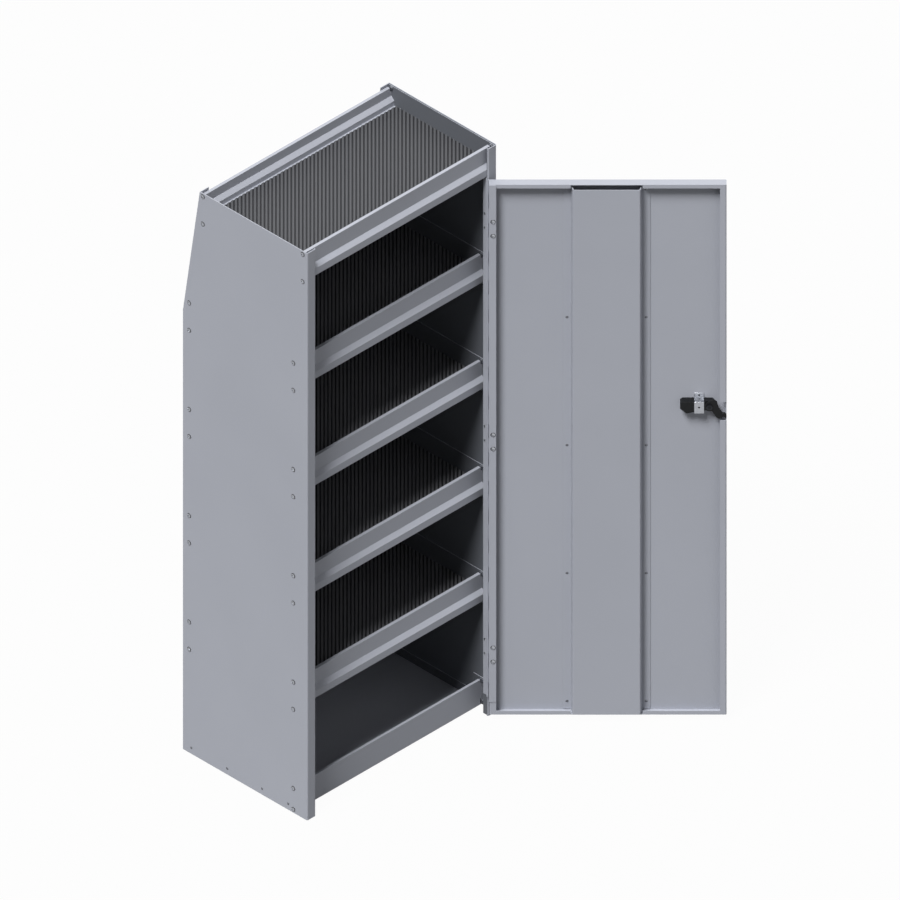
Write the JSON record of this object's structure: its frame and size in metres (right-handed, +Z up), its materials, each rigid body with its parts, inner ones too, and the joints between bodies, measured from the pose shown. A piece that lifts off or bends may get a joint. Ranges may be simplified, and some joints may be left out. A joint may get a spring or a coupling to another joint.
{
  "type": "security cabinet",
  "caption": "Tall steel security cabinet with a sloped back, lipped shelves with ribbed mats, an open tray on top and one hinged door with a hook latch.",
  "frame": {"origin": "centre of the cabinet's own footprint, on the floor; the open door is left out of that centre", "axes": "+X to the right as seen from the front, +Y to the back, +Z up"},
  "size_m": [0.9644, 0.8029, 1.58],
  "materials": {
    "panel": "satin grey powder coat",
    "tray": "satin grey powder coat",
    "mat": "matt ribbed rubber",
    "fastener": "bright zinc plate",
    "latch_steel": "zinc plate",
    "latch_black": "black"
  },
  "bodies": {
    "cabinet": {"left_side_panel": "panel", "right_side_panel": "panel", "base_pan": "tray", "top_tray": "tray", "shelf_1": "tray", "shelf_2": "tray", "shelf_3": "tray", "shelf_4": "tray", "top_mat": "mat", "shelf_mat_1": "mat", "shelf_mat_2": "mat", "shelf_mat_3": "mat", "shelf_mat_4": "mat", "lower_back_panel": "panel", "upper_back_panel": "panel", "left_side_bolts": "fastener", "right_side_bolts": "fastener", "left_side_nuts": "fastener", "right_side_nuts": "fastener", "base_rivets": "fastener", "back_rivets": "fastener", "hinge_post_leaf": "panel", "hinge_pin": "latch_steel", "hinge_post_rivets": "fastener", "striker_plate": "latch_steel", "striker_rivets": "fastener"},
    "door": {"door_pan": "panel", "door_stiffener": "panel", "stiffener_rivets": "panel", "hinge_door_leaf": "panel", "hinge_bolts": "fastener", "latch_housing": "latch_black", "latch_strap": "latch_steel", "latch_strap_screws": "fastener", "handle_rose": "latch_black", "handle_rose_screws": "fastener"},
    "handle": {"latch_hook": "latch_black", "hook_nut": "latch_steel", "lever_handle": "latch_black"},
    "lock": {"lock_cylinder": "fastener"}
  },
  "joints": [
    {"name": "door_hinge", "type": "hinge", "parent": "cabinet", "child": "door", "pos_m": [0.274, -0.2015, 0.78], "axis": [0, 0, 1], "range_deg": [-135, 45]},
    {"name": "handle_turn", "type": "hinge", "parent": "door", "child": "handle", "pos_m": [0.63109, -0.55859, 0.88], "axis": [-0.7071, -0.7071, 0], "range_deg": [0, 42]},
    {"name": "key_turn", "type": "hinge", "parent": "handle", "child": "lock", "pos_m": [0.63109, -0.55859, 0.88], "axis": [-0.7071, -0.7071, 0], "range_deg": [-90, 90]}
  ]
}
